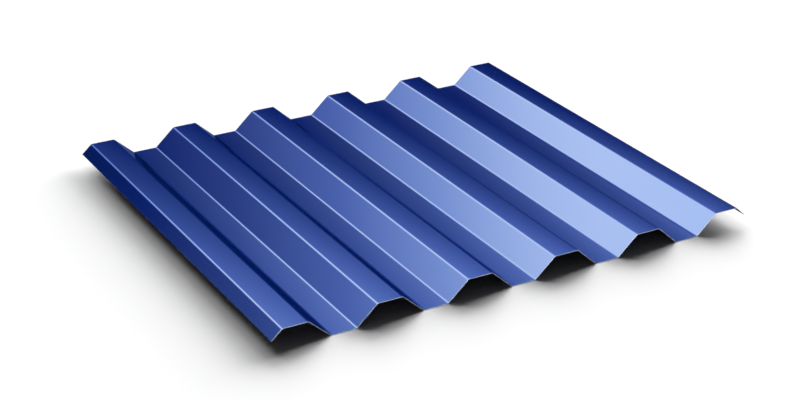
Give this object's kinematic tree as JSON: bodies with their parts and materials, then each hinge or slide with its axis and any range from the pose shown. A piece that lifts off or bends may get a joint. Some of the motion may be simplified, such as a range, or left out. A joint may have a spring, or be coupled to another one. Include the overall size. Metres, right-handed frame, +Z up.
{
  "type": "trapezoidal corrugated metal sheet",
  "caption": "Thin steel sheet roll-formed into even trapezoidal ribs, with short turned-down side edges and a glossy blue coat, for roofs, walls and fences.",
  "frame": {"origin": "centre of the sheet, on the plane of the pans' undersides that it lies on", "axes": "+X across the ribs, +Y along the ribs, +Z up, towards the weather side"},
  "size_m": [1.1004, 0.98, 0.042],
  "materials": {
    "coated_steel": "glossy blue coil coating on galvanised steel"
  },
  "bodies": {
    "root": {"profiled_sheet": "coated_steel"}
  },
  "joints": []
}
